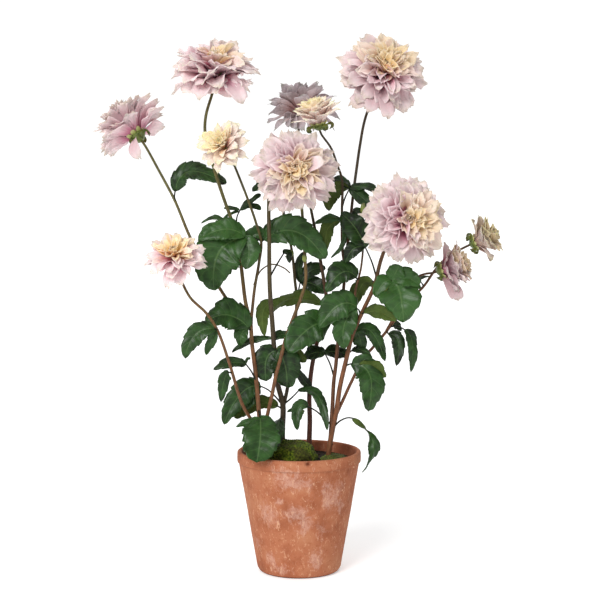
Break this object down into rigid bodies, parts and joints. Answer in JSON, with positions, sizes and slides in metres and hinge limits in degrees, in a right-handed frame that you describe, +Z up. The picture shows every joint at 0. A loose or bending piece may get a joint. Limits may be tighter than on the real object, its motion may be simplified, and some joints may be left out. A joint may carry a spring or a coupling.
{
  "type": "potted cafe au lait dahlia",
  "caption": "Tall branching dahlia with large pale pink and cream flowers and dark toothed leaves, growing from moss and soil in a plain tapered clay pot.",
  "frame": {"origin": "middle of the flat foot of the pot, on the surface it stands on", "axes": "+Z up along the pot's axis, -Y towards the front as the picture sees the plant, +X to the right"},
  "size_m": [0.6792, 0.3018, 0.8808],
  "materials": {
    "clay": "unglazed, weathered, matte",
    "earth": "loose dark bark and peat, matte",
    "moss": "soft fibres, matte",
    "stem": "green to brown stem skin, satin",
    "leaf": "leaf skin, satin",
    "petal": "soft petal skin, matte",
    "cream_petal": "soft petal skin, matte",
    "dusk_petal": "soft petal skin, matte"
  },
  "bodies": {
    "root": {"pot": "clay", "soil": "earth", "moss_cushion": "moss", "moss_patch": "moss", "stalk_left": "stem", "stalk_back_left": "stem", "stalk_back": "stem", "stalk_right": "stem", "bloom_top_left": "petal", "bloom_left_side": "petal", "bloom_left_low": "petal", "bloom_cream_left": "cream_petal", "bloom_centre": "petal", "bloom_back": "dusk_petal", "bloom_cream_top": "cream_petal", "bloom_top_right": "petal", "bloom_right": "petal", "bloom_right_low": "petal", "bloom_right_end": "cream_petal", "leaf_left_arch": "leaf", "leaf_left_small": "leaf", "leaf_left_wisp": "leaf", "leaf_left_big": "leaf", "leaf_middle_long": "leaf", "leaf_inner_right_high": "leaf", "leaf_inner_right": "leaf", "leaf_upper_right": "leaf", "leaf_side_shoot": "leaf", "leaf_middle_dark": "leaf", "leaf_middle_right_big": "leaf", "leaf_middle_big": "leaf", "leaf_middle_olive": "leaf", "leaf_low_dark": "leaf", "leaf_low_pair": "leaf", "leaf_behind_centre": "leaf", "leaf_left_middle": "leaf", "leaf_left_hanging": "leaf", "leaf_left_thin": "leaf", "leaf_left_tongue": "leaf", "leaf_low_left_big": "leaf", "leaf_low_olive": "leaf", "leaf_pot_front": "leaf", "leaf_pot_dark": "leaf", "leaf_pot_back": "leaf", "leaf_back_thin": "leaf", "leaf_low_curl": "leaf", "leaf_low_right_big": "leaf", "leaf_pot_right": "leaf", "leaf_right_hanging": "leaf", "leaf_right_pair": "leaf", "leaf_right_tail": "leaf", "leaf_right_low_small": "leaf", "leaf_low_middle_pair": "leaf", "leaf_right_broad": "leaf", "leaf_right_speck": "leaf", "leaf_right_inner": "leaf", "leaf_right_olive": "leaf", "leaf_right_under": "leaf", "leaf_middle_right": "leaf", "leaf_middle_speck": "leaf"}
  },
  "joints": []
}
